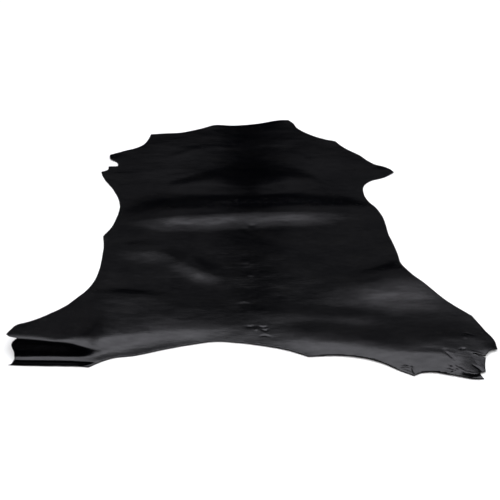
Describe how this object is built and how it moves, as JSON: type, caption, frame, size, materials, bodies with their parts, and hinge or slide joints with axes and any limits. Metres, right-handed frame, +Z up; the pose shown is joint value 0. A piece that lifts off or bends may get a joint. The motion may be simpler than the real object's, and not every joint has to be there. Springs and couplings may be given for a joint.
{
  "type": "leather hide",
  "caption": "Whole smooth black leather hide laid flat with its grain side up, legs and neck spread, in low rolls with a sharp fold along a hind shank; stock for cutting or a plain cover.",
  "frame": {"origin": "on the surface the hide lies on, under the middle of its length and width", "axes": "+Y along the backbone towards the neck, +X to the right as seen from the hind legs, +Z up"},
  "size_m": [1.0983, 1.3563, 0.0363],
  "materials": {
    "grain": "smooth black grain with a low sheen"
  },
  "bodies": {
    "root": {"hide": "grain"}
  },
  "joints": []
}
